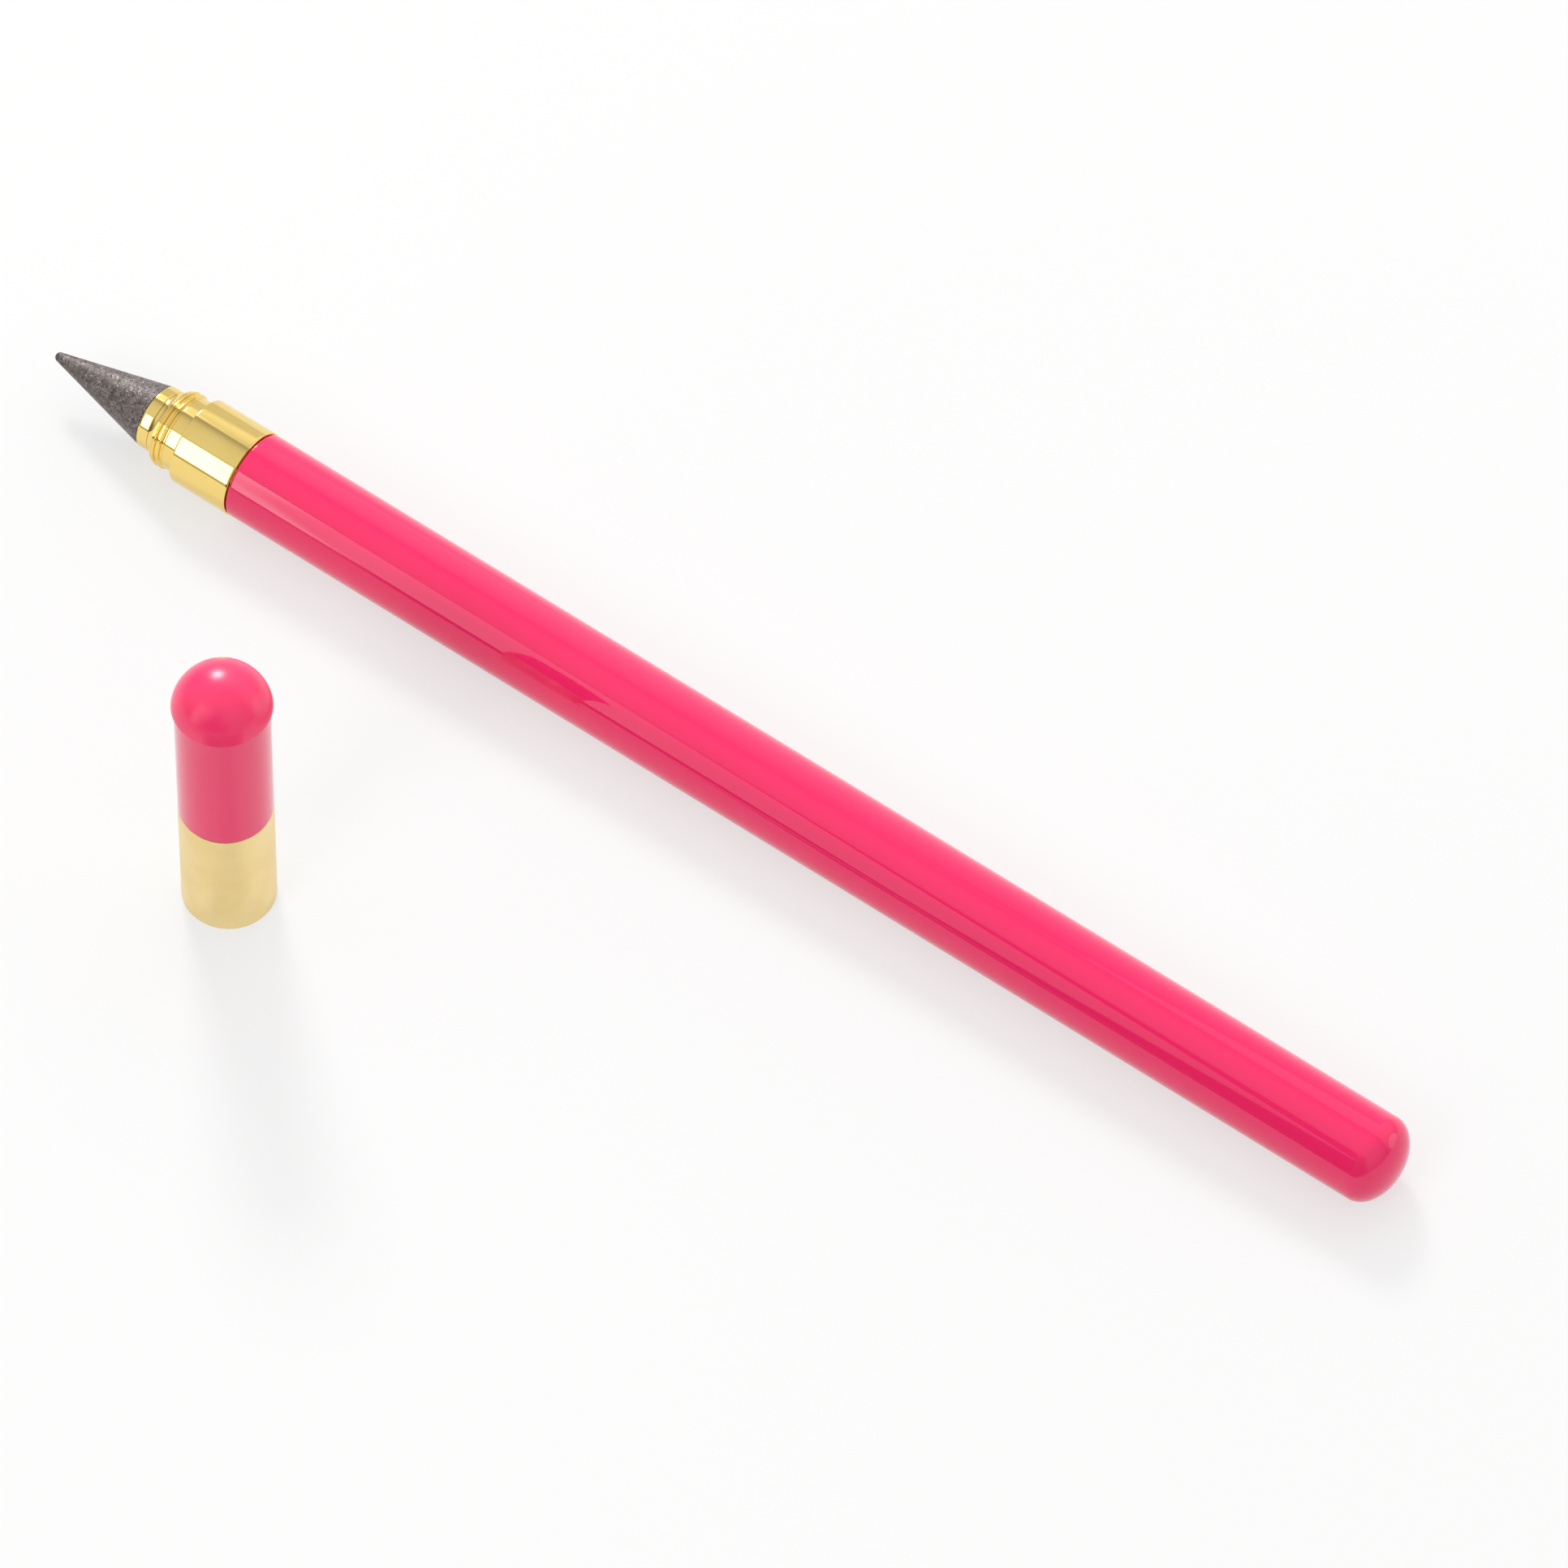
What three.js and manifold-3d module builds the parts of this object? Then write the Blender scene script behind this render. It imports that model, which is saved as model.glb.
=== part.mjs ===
// Inkless pencil lying on its side, with its pull-off cap standing mouth down beside it.
// Millimetres, +Z up. The pencil's axis runs along X with the nib towards -X, and the cap's axis is vertical.
// The origin is the middle of the footprint, on the surface that the pencil and the cap rest on.
// Every piece is turned or moulded round its own axis, so each one is an outline of [radius, distance along
// the axis] points. Distances on the pencil run from the nib's point, and on the cap up from its mouth.
import * as THREE from 'three';
import { mergeVertices } from 'three/addons/utils/BufferGeometryUtils.js';
import Module from 'manifold-3d';

const wasm = await Module();
wasm.setup();

// Barrel: a lacquered tube, closed at the rear by a domed plug
const pencilLength = 158.3;
const barrelDiameter = 9;
const barrelWall = 0.5;
const rearDomeHeight = 2.9;
const rearSpigotLength = 7;

// Nib: a graphite cone glued into a threaded holder
const coneLength = 12.25;
const coneBaseDiameter = 6.55;
const pointRadius = 0.5;
const shankDiameter = 3;
const shankLength = 4;
const collarStep = 0.07;
const collarLength = 1.3;
const stemDiameter = 5;
const stemLength = 6;
const reliefWidth = 0.6;
const reliefDepth = 0.35;

// Ferrule: the turned front end, with the nib's socket inside and the cap's snap ridges outside
const sleeveProud = 0.075;
const sleeveLength = 6.6;
const shoulderStep = 0.67;
const neckLength = 1.71;
const ridgeCount = 2;
const ridgeHeight = 0.2;
const ridgePitch = 0.62;
const ridgeWidth = 0.36;
const ridgeFlank = 0.1;
const grooveDepth = 0.07;
const lipWidth = 0.1;
const flareLength = 0.75;
const socketRunOut = 0.8;
const airHoleDiameter = 2.4;
const tenonLength = 9;
const glueGrooveCount = 3;
const glueGrooveWidth = 0.8;
const glueGrooveDepth = 0.25;

// Cap: a gold mouth band and a lacquered shell, both pressed over a plastic liner, and a domed crown on top
const bandLength = 14.65;
const shellLength = 16.2;
const capWall = 0.3;
const beadWidth = 0.6;
const linerWall = 0.55;
const crownBulge = 0.3;
const crownEdgeAngle = 8;
const crownSpigotLength = 3;
const capAlong = 49.4;
const capAside = 37.2;

// Moulded spigots on the rear plug and the crown
const spigotWall = 0.9;
const crushRibCount = 6;
const crushRibDepth = 0.15;
const crushRibRadius = 0.35;

// Fits, gaps and broken edges
const pressFit = 0.03;
const glueFit = 0.05;
const threadFit = 0.05;
const snapBite = 0.05;
const seatGap = 0.05;
const edgeBreak = 0.12;
const mouthBreak = 0.2;

// Flats round each axis: a multiple of four puts one at the bottom, the top and both sides
const facets = 40;
const flatShare = Math.cos(Math.PI / facets);

// Radii and distances that several of the pencil's pieces share
const barrelRadius = barrelDiameter / 2;
const barrelBore = barrelRadius - barrelWall;
const sleeveRadius = barrelRadius + sleeveProud;
const neckRadius = sleeveRadius - shoulderStep;
const ridgeRadius = neckRadius + ridgeHeight;
const collarRadius = coneBaseDiameter / 2 + collarStep;
const collarEnd = coneLength + collarLength;
const ferruleFront = collarEnd + seatGap;
const ridgesFront = ferruleFront + flareLength;
const shoulder = ridgesFront + ridgeCount * ridgePitch + neckLength;
const sleeveEnd = shoulder + sleeveLength;
const rearRim = pencilLength - rearDomeHeight;

// Radii and heights that several of the cap's pieces share
const capRadius = sleeveRadius;
const capBore = capRadius - capWall;
const shellFoot = bandLength + seatGap;
const shellTop = shellFoot + shellLength;
const crownFoot = shellTop + seatGap;

// The crown is cut from a ball, above the ball's middle, so that it ends in a sharp edge over the shell
const ballRadius = capRadius + crownBulge;
const ballMiddle = crownFoot - ballRadius * Math.sin(THREE.MathUtils.degToRad(crownEdgeAngle));
const crownEdgeRadius = ballRadius * Math.cos(THREE.MathUtils.degToRad(crownEdgeAngle));

const lacquer = { color: 0xf5336c, roughness: 0.15, metalness: 0 };
const polishedGold = { color: 0xe2bf62, roughness: 0.12, metalness: 1 };
const satinGold = { color: 0xe0c47c, roughness: 0.35, metalness: 1 };
const graphite = { color: 0x6b605d, roughness: 0.55, metalness: 0.3 };
const whitePlastic = { color: 0xe9e6e0, roughness: 0.5, metalness: 0 };

function piece(name, geometry, finish) {
  const mesh = new THREE.Mesh(geometry, new THREE.MeshStandardMaterial(finish));
  mesh.name = name;
  return mesh;
}

// The outline runs outwards over the low end, up the outside and back down the inside. A ring is closed here.
function turned(outline) {
  const points = outline.map(([radius, along]) => new THREE.Vector2(Math.max(radius, 0), along));
  const isRing = points[0].x > 0;
  if (isRing) points.push(points[0].clone());
  return new THREE.LatheGeometry(points, facets, Math.PI / facets);
}

// Points on an ellipse. At 0 degrees a point lies outwards of the centre, and at 90 further along the axis.
function arc(radius, along, halfWidth, halfLength, fromDegrees, toDegrees, steps) {
  return Array.from({ length: steps + 1 }, (_, i) => {
    const angle = THREE.MathUtils.degToRad(fromDegrees + ((toDegrees - fromDegrees) * i) / steps);
    return [radius + halfWidth * Math.cos(angle), along + halfLength * Math.sin(angle)];
  });
}

// A cylindrical stretch whose two outer edges are broken
function land(radius, from, to, edge = edgeBreak) {
  return [[radius - edge, from], [radius, from + edge], [radius, to - edge], [radius - edge, to]];
}

function toSolid(geometry) {
  const bare = geometry.clone();
  bare.deleteAttribute('normal');
  bare.deleteAttribute('uv');
  const merged = mergeVertices(bare, 1e-5);
  const corners = [];
  for (let i = 0; i < merged.index.count; i += 3) {
    const triangle = [0, 1, 2].map((corner) => merged.index.getX(i + corner));
    if (new Set(triangle).size === 3) corners.push(...triangle);
  }
  return new wasm.Manifold(new wasm.Mesh({
    numProp: 3,
    vertProperties: new Float32Array(merged.attributes.position.array),
    triVerts: new Uint32Array(corners),
  }));
}

function toGeometry(solid) {
  const { vertProperties, triVerts } = solid.getMesh();
  const geometry = new THREE.BufferGeometry();
  geometry.setAttribute('position', new THREE.BufferAttribute(vertProperties, 3));
  geometry.setIndex(new THREE.BufferAttribute(triVerts, 1));
  geometry.computeVertexNormals();
  return geometry;
}

// Crush ribs along a moulded spigot, which bite into the tube that the spigot is pressed into
function withCrushRibs(geometry, spigotRadius, from, to) {
  const middle = spigotRadius + crushRibDepth - crushRibRadius;
  let solid = toSolid(geometry);
  for (let i = 0; i < crushRibCount; i += 1) {
    const angle = ((i + 0.5) * 2 * Math.PI) / crushRibCount;
    const rib = new THREE.CylinderGeometry(crushRibRadius, crushRibRadius, to - from, 6);
    rib.rotateY(angle);
    rib.translate(middle * Math.sin(angle), (from + to) / 2, middle * Math.cos(angle));
    solid = solid.add(toSolid(rib));
  }
  return toGeometry(solid);
}

// Graphite cone, tangent to its rounded point, with the shank that is glued into the holder
function nibTip() {
  const baseRadius = coneBaseDiameter / 2;
  const shankRadius = shankDiameter / 2;
  const shankEnd = coneLength + shankLength;
  const toCentre = coneLength - pointRadius;
  const halfAngle = Math.acos(pointRadius / Math.hypot(baseRadius, toCentre)) - Math.atan2(toCentre, baseRadius);
  return piece('nib_tip', turned([
    ...arc(0, pointRadius, pointRadius, pointRadius, -90, -THREE.MathUtils.radToDeg(halfAngle), 4),
    [baseRadius, coneLength],
    [shankRadius, coneLength],
    [shankRadius, shankEnd - edgeBreak],
    [shankRadius - edgeBreak, shankEnd],
    [0, shankEnd],
  ]), graphite);
}

// Gold collar with the shank's blind bore in front and the threaded stem behind, at the thread's outer size
function nibHolder() {
  const boreRadius = shankDiameter / 2 + glueFit;
  const boreEnd = coneLength + shankLength + glueFit;
  const stemRadius = stemDiameter / 2;
  const reliefRadius = stemRadius - reliefDepth;
  const stemEnd = collarEnd + stemLength;
  return piece('nib_holder', turned([
    [0, boreEnd],
    [boreRadius, boreEnd],
    [boreRadius, coneLength + glueFit],
    ...land(collarRadius, coneLength + glueFit, collarEnd),
    [reliefRadius, collarEnd],
    [reliefRadius, collarEnd + reliefWidth],
    ...land(stemRadius, collarEnd + reliefWidth, stemEnd),
    [0, stemEnd],
  ]), polishedGold);
}

// The ridges that the cap's rolled bead clicks behind, with a groove before each and one behind the last
function snapRidges() {
  const grooveRadius = neckRadius - grooveDepth;
  const neckFront = ridgesFront + (ridgeCount + 1) * ridgePitch - ridgeWidth;
  const points = [[neckRadius, ridgesFront + lipWidth], [grooveRadius, ridgesFront + lipWidth + grooveDepth]];
  for (let i = 1; i <= ridgeCount; i += 1) {
    const ridgeEnd = ridgesFront + i * ridgePitch;
    points.push([grooveRadius, ridgeEnd - ridgeWidth]);
    points.push([ridgeRadius, ridgeEnd - ridgeWidth + ridgeFlank]);
    points.push([ridgeRadius, ridgeEnd - ridgeFlank]);
    points.push([grooveRadius, ridgeEnd]);
  }
  points.push([grooveRadius, neckFront - grooveDepth], [neckRadius, neckFront]);
  return points;
}

// Tenon that is glued into the barrel, ringed by grooves that hold the glue
function gluedTenon() {
  const radius = barrelBore - pressFit;
  const pitch = tenonLength / (glueGrooveCount + 1);
  const points = [[radius, sleeveEnd]];
  for (let i = 1; i <= glueGrooveCount; i += 1) {
    const from = sleeveEnd + i * pitch - glueGrooveWidth / 2;
    const to = from + glueGrooveWidth;
    points.push([radius, from], [radius - glueGrooveDepth, from], [radius - glueGrooveDepth, to], [radius, to]);
  }
  points.push([radius, sleeveEnd + tenonLength - edgeBreak]);
  points.push([radius - edgeBreak, sleeveEnd + tenonLength]);
  return points;
}

// One turned piece: hollow flare up from the collar, snap ridges, neck, shoulder, sleeve and tenon, drilled
// right through, with the nib's threaded socket in front at the thread's outer size plus its clearance
function ferrule() {
  const socketRadius = stemDiameter / 2 + threadFit;
  const socketEnd = collarEnd + stemLength + socketRunOut;
  const airHoleRadius = airHoleDiameter / 2;
  return piece('ferrule', turned([
    [socketRadius + edgeBreak, ferruleFront],
    ...arc(neckRadius, ferruleFront, neckRadius - collarRadius, flareLength, 180, 90, 4),
    ...snapRidges(),
    [neckRadius, shoulder],
    ...land(sleeveRadius, shoulder, sleeveEnd),
    ...gluedTenon(),
    [airHoleRadius, sleeveEnd + tenonLength],
    [airHoleRadius, socketEnd],
    [socketRadius, socketEnd],
    [socketRadius, ferruleFront + edgeBreak],
  ]), polishedGold);
}

function barrel() {
  const from = sleeveEnd + seatGap;
  const to = rearRim - seatGap;
  return piece('barrel', turned([
    [barrelBore, from],
    ...land(barrelRadius, from, to, seatGap),
    [barrelBore, to],
  ]), lacquer);
}

// Low domed head over a hollow spigot, which is pressed into the barrel's rear end
function rearPlug() {
  const spigotRadius = barrelBore - pressFit - crushRibDepth;
  const hollowRadius = spigotRadius - spigotWall;
  const spigotEnd = rearRim - rearSpigotLength;
  const head = turned([
    [0, rearRim],
    [hollowRadius, rearRim],
    [hollowRadius, spigotEnd],
    [spigotRadius - edgeBreak, spigotEnd],
    [spigotRadius, spigotEnd + edgeBreak],
    [spigotRadius, rearRim],
    ...arc(0, rearRim, barrelRadius, rearDomeHeight, 0, 90, 9),
  ]);
  return piece('rear_plug', withCrushRibs(head, spigotRadius, spigotEnd + spigotWall, rearRim - seatGap), lacquer);
}

// Thin gold tube whose mouth is rolled in to a bead. The bead is narrower than the snap ridges by its bite.
function capBand() {
  const beadBore = ridgeRadius - snapBite;
  const rampEnd = beadWidth + capBore - beadBore;
  return piece('cap_band', turned([
    [beadBore + edgeBreak, 0],
    ...arc(capRadius - mouthBreak, mouthBreak, mouthBreak, mouthBreak, -90, 0, 3),
    [capRadius, bandLength - seatGap],
    [capRadius - seatGap, bandLength],
    [capBore, bandLength],
    [capBore, rampEnd],
    [beadBore, beadWidth],
    [beadBore, edgeBreak],
  ]), satinGold);
}

// Plastic sleeve that the band and the shell are pressed over. Below its foot the mouth is left free for the
// ferrule's neck, ridges and flare, and its bore takes the collar and the cone.
function capLiner() {
  const outerRadius = capBore - pressFit;
  const innerRadius = outerRadius - linerWall;
  const foot = shoulder - ferruleFront + seatGap;
  const top = shellTop - crownSpigotLength - seatGap;
  return piece('cap_liner', turned([
    [innerRadius + edgeBreak, foot],
    ...land(outerRadius, foot, top),
    [innerRadius, top],
    [innerRadius, foot + edgeBreak],
  ]), whitePlastic);
}

function capShell() {
  return piece('cap_shell', turned([
    [capBore, shellFoot],
    ...land(capRadius, shellFoot, shellTop, seatGap),
    [capBore, shellTop],
  ]), lacquer);
}

// Domed button, a little wider than the shell, with a hollow spigot that is pressed into it
function capCrown() {
  const domeHeight = ballMiddle + ballRadius - crownFoot;
  const spigotRadius = capBore - pressFit - crushRibDepth;
  const hollowRadius = spigotRadius - spigotWall;
  const spigotEnd = shellTop - crownSpigotLength;
  const dome = turned([
    ...arc(0, crownFoot, hollowRadius, domeHeight - spigotWall, 90, 0, 6),
    [hollowRadius, spigotEnd],
    [spigotRadius - edgeBreak, spigotEnd],
    [spigotRadius, spigotEnd + edgeBreak],
    [spigotRadius, crownFoot],
    ...arc(0, ballMiddle, ballRadius, ballRadius, crownEdgeAngle, 90, 10),
  ]);
  return piece('cap_crown', withCrushRibs(dome, spigotRadius, spigotEnd + edgeBreak, shellTop), lacquer);
}

// The pencil lies on its sleeve's lowest flat, and the crown and the sleeve bound the footprint across
const pencilHeight = sleeveRadius * flatShare;
const footprintDepth = capAside + pencilHeight + crownEdgeRadius * flatShare;
const pencilAside = footprintDepth / 2 - pencilHeight;

const pencil = new THREE.Group();
pencil.add(nibTip(), nibHolder(), ferrule(), barrel(), rearPlug());
pencil.rotation.z = -Math.PI / 2;
pencil.position.set(-pencilLength / 2, pencilAside, pencilHeight);

const cap = new THREE.Group();
cap.add(capBand(), capLiner(), capShell(), capCrown());
cap.rotation.x = Math.PI / 2;
cap.position.set(capAlong - pencilLength / 2, pencilAside - capAside, 0);

const inklessPencil = new THREE.Group();
inklessPencil.add(pencil, cap);

export default inklessPencil;
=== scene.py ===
import math

import bpy
from mathutils import Matrix, Vector


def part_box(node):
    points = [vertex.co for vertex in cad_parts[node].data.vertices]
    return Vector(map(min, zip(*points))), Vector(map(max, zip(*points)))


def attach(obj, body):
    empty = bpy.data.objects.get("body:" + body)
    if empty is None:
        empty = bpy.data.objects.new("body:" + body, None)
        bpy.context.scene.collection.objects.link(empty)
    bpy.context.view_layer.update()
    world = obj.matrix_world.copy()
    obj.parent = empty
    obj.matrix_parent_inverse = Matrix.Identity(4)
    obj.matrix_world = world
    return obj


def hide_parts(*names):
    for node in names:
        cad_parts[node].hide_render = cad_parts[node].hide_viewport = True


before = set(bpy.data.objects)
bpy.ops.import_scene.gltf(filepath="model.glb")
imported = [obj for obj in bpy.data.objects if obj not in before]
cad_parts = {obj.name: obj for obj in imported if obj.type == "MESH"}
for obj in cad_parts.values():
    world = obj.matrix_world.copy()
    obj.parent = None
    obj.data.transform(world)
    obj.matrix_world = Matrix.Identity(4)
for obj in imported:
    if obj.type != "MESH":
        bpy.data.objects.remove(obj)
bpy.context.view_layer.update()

mm = 0.001
print("frame loaded")


# A node's output that Python's operators work on
class Socket:
    def __init__(self, shading, output):
        self.shading = shading
        self.output = output

    def maths(self, operation, first, second):
        return self.shading.node("ShaderNodeMath", {"operation": operation}, {0: first, 1: second})

    def __add__(self, other):
        return self.maths("ADD", self, other)

    def __radd__(self, other):
        return self.maths("ADD", other, self)

    def __sub__(self, other):
        return self.maths("SUBTRACT", self, other)

    def __rsub__(self, other):
        return self.maths("SUBTRACT", other, self)

    def __mul__(self, other):
        return self.maths("MULTIPLY", self, other)

    def __rmul__(self, other):
        return self.maths("MULTIPLY", other, self)

    def __truediv__(self, other):
        return self.maths("DIVIDE", self, other)

    def __rtruediv__(self, other):
        return self.maths("DIVIDE", other, self)

    # Another output of the same node
    def twin(self, name):
        return Socket(self.shading, self.output.node.outputs[name])


# The nodes of one material, or of the world
class Shading:
    def __init__(self, owner):
        owner.use_nodes = True
        self.tree = owner.node_tree
        self.tree.nodes.clear()

    def node(self, kind, settings, values, output=0):
        made = self.tree.nodes.new(kind)
        for name, setting in settings.items():
            if name == "stops":
                self.setStops(made.color_ramp, setting)
            else:
                setattr(made, name, setting)
        for name, value in values.items():
            socket = self.find(made.inputs, name)
            if isinstance(value, Socket):
                self.tree.links.new(value.output, socket)
            else:
                socket.default_value = value
        return Socket(self, self.find(made.outputs, output)) if len(made.outputs) else None

    def find(self, sockets, name):
        if isinstance(name, int):
            return sockets[name]
        return next(s for s in sockets if s.name == name and s.enabled)

    def setStops(self, ramp, stops):
        while len(ramp.elements) > 1:
            ramp.elements.remove(ramp.elements[-1])
        ramp.elements[0].position, ramp.elements[0].color = stops[0]
        for position, colour in stops[1:]:
            ramp.elements.new(position).color = colour

    # What the patterns need over and over. A scale counts a pattern's features along one metre, and detail
    # its finer layers.
    def place(self, stretch=(1, 1, 1)):
        spot = self.node("ShaderNodeTexCoord", {}, {}, "Object")
        return self.node("ShaderNodeVectorMath", {"operation": "MULTIPLY"}, {0: spot, 1: stretch})

    def noise(self, scale, stretch=(1, 1, 1), distortion=0, detail=2):
        values = {"Vector": self.place(stretch), "Scale": scale, "Detail": detail, "Distortion": distortion}
        return self.node("ShaderNodeTexNoise", {}, values, "Fac")

    def spots(self, scale, edge):
        values = {"Vector": self.place(), "Scale": scale, "Randomness": 1}
        distance = self.node("ShaderNodeTexVoronoi", {}, values, "Distance")
        return self.ramp(distance, [(0, 1), (edge, 0)])

    def ramp(self, value, stops):
        grey = [(position, (level, level, level, 1)) for position, level in stops]
        return self.node("ShaderNodeValToRGB", {"stops": grey}, {"Fac": value})

    # 0 up to the first limit, 1 from the second
    def between(self, value, limits):
        return self.ramp(value, [(limits[0], 0), (limits[1], 1)])

    # 0 where the value is well below zero and 1 well above it. A bigger edge makes the change sharper.
    def above(self, value, edge):
        return self.between(value * edge + 0.5, (0, 1))

    def blend(self, factor, first, second):
        settings = {"data_type": "RGBA", "blend_type": "MIX"}
        return self.node("ShaderNodeMix", settings, {"Factor": factor, "A": first, "B": second}, "Result")

    def bump(self, height, distance, strength=1.0):
        values = {"Strength": strength, "Distance": distance, "Height": height}
        return self.node("ShaderNodeBump", {}, values, "Normal")

    def surface(self, shader):
        self.node("ShaderNodeOutputMaterial", {}, {"Surface": shader})


# Colours are written as screen values from 0 to 255
def linear(level):
    part = level / 255
    return part / 12.92 if part <= 0.04045 else ((part + 0.055) / 1.055) ** 2.4


def colour(levels):
    return (*[linear(level) for level in levels], 1)


def newMaterial(name):
    material = bpy.data.materials.new(name)
    return material, Shading(material)


lacquerLook = {
    "colour": (244, 40, 102), "deeper": (240, 36, 98), "driftScale": 55,
    "dust": (255, 170, 190), "dustShare": 0.35, "dustScale": 900, "dustSize": 0.05,
    "dustPatchScale": 170, "dustPatches": (0.5, 0.62),
    "roughness": 0.25, "haze": 0.1, "hazeScale": 700, "dustDulls": 0.2, "specular": 0.02,
    "coatRoughness": 0.035, "coatIor": 1.5, "peelSize": 1.3 * mm, "peelHeight": 0.0011 * mm,
}
crownLook = {
    **lacquerLook,
    "colour": (255, 44, 106), "deeper": (252, 40, 102), "coatRoughness": 0.31, "coatIor": 1.6,
}


def pinkLacquer(name, look):
    material, s = newMaterial(name)
    drift = s.noise(look["driftScale"])
    dusty = s.between(s.noise(look["dustPatchScale"]), look["dustPatches"])
    dust = s.spots(look["dustScale"], look["dustSize"]) * dusty
    haze = s.noise(look["hazeScale"], detail=4)
    tint = s.blend(drift, colour(look["deeper"]), colour(look["colour"]))
    peel = s.noise(1 / look["peelSize"])
    s.surface(s.node("ShaderNodeBsdfPrincipled", {}, {
        "Base Color": s.blend(dust * look["dustShare"], tint, colour(look["dust"])),
        "Roughness": look["roughness"] + look["haze"] * haze + look["dustDulls"] * dust,
        "Specular IOR Level": look["specular"],
        "Coat Weight": 1.0,
        "Coat Roughness": look["coatRoughness"],
        "Coat IOR": look["coatIor"],
        "Normal": s.bump(peel, look["peelHeight"]),
    }))
    return material


goldLook = {
    "colour": (248, 220, 138), "warmer": (241, 207, 118), "cloudScale": 300,
    "scratchScale": 900, "scratchStretch": (1, 1, 0.06), "scratchBend": 0.6, "scratches": (0.62, 0.72),
    "roughness": 0.045, "cloudDulls": 0.02, "scratchDulls": 0.03,
    "ringSize": 0.06 * mm, "ringStretch": (0.02, 0.02, 1), "ringHeight": 0.0002 * mm,
}


def polishedGold(name, look):
    material, s = newMaterial(name)
    cloud = s.noise(look["cloudScale"], detail=3)
    rings = s.noise(1 / look["ringSize"], look["ringStretch"])
    streaks = s.noise(look["scratchScale"], look["scratchStretch"], look["scratchBend"])
    scratches = s.between(streaks, look["scratches"])
    s.surface(s.node("ShaderNodeBsdfPrincipled", {}, {
        "Base Color": s.blend(cloud, colour(look["warmer"]), colour(look["colour"])),
        "Metallic": 1.0,
        "Roughness": look["roughness"] + look["cloudDulls"] * cloud + look["scratchDulls"] * scratches,
        "Normal": s.bump(rings, look["ringHeight"]),
    }))
    return material


satinLook = {
    "colour": (246, 223, 162), "warmer": (239, 211, 144),
    "cloudScale": 190, "cloudBend": 0.4, "patches": (0.35, 0.65),
    "roughness": 0.27, "cloudDulls": 0.12, "grainDulls": 0.05,
    "grainSize": 0.12 * mm, "grainHeight": 0.0012 * mm,
}


def satinGold(name, look):
    material, s = newMaterial(name)
    cloud = s.noise(look["cloudScale"], distortion=look["cloudBend"], detail=3)
    patches = s.between(cloud, look["patches"])
    grain = s.noise(1 / look["grainSize"], detail=3)
    s.surface(s.node("ShaderNodeBsdfPrincipled", {}, {
        "Base Color": s.blend(patches, colour(look["warmer"]), colour(look["colour"])),
        "Metallic": 1.0,
        "Roughness": look["roughness"] + look["cloudDulls"] * cloud + look["grainDulls"] * grain,
        "Normal": s.bump(grain, look["grainHeight"]),
    }))
    return material


graphiteLook = {
    "colour": (122, 111, 108), "darker": (70, 62, 60),
    "cloudScale": 2300, "cloudBend": 1.2, "clouds": (0.38, 0.6),
    "speck": (196, 187, 183), "speckShare": 0.75, "speckPatchScale": 1300, "speckPatches": (0.42, 0.6),
    "wormScale": 3600, "wormStretch": (1, 1, 0.7), "wormBend": 2.5, "worms": (0.55, 0.64),
    "pit": (44, 39, 38), "pitShare": 0.7, "pitScale": 3300, "pitSize": 0.3,
    "pitPatchScale": 1900, "pitPatches": (0.5, 0.6),
    "metallic": 0.35, "speckMetallic": 0.4, "roughness": 0.36, "grainDulls": 0.22, "speckPolish": 0.1,
    "grainScale": 4200, "ringScale": 9000, "ringStretch": (0.015, 0.015, 1),
    "grainRise": 0.7, "ringRise": 0.3, "speckRise": 0.5, "pitDepth": 0.6,
    "relief": 0.025 * mm, "reliefShare": 0.8,
}


def mottledGraphite(name, look):
    material, s = newMaterial(name)
    cloud = s.noise(look["cloudScale"], distortion=look["cloudBend"], detail=5)
    grain = s.noise(look["grainScale"], detail=4)
    rings = s.noise(look["ringScale"], look["ringStretch"])
    worms = s.noise(look["wormScale"], look["wormStretch"], look["wormBend"])
    speckled = s.between(s.noise(look["speckPatchScale"]), look["speckPatches"])
    specks = s.between(worms, look["worms"]) * speckled
    pitted = s.between(s.noise(look["pitPatchScale"]), look["pitPatches"])
    pits = s.spots(look["pitScale"], look["pitSize"]) * pitted
    ground = s.blend(s.between(cloud, look["clouds"]), colour(look["darker"]), colour(look["colour"]))
    worn = s.blend(pits * look["pitShare"], ground, colour(look["pit"]))
    raised = grain * look["grainRise"] + rings * look["ringRise"] + specks * look["speckRise"]
    s.surface(s.node("ShaderNodeBsdfPrincipled", {}, {
        "Base Color": s.blend(specks * look["speckShare"], worn, colour(look["speck"])),
        "Metallic": look["metallic"] + look["speckMetallic"] * specks,
        "Roughness": look["roughness"] + look["grainDulls"] * grain - look["speckPolish"] * specks,
        "Normal": s.bump(raised - pits * look["pitDepth"], look["relief"], look["reliefShare"]),
    }))
    return material


linerLook = {
    "colour": (234, 231, 224), "darker": (224, 220, 210),
    "flowScale": 120, "flowStretch": (1, 1, 0.25), "flowBend": 0.8,
    "roughness": 0.42, "grainDulls": 0.12, "grainScale": 3000, "grainHeight": 0.003 * mm, "grainShare": 0.6,
}


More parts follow.
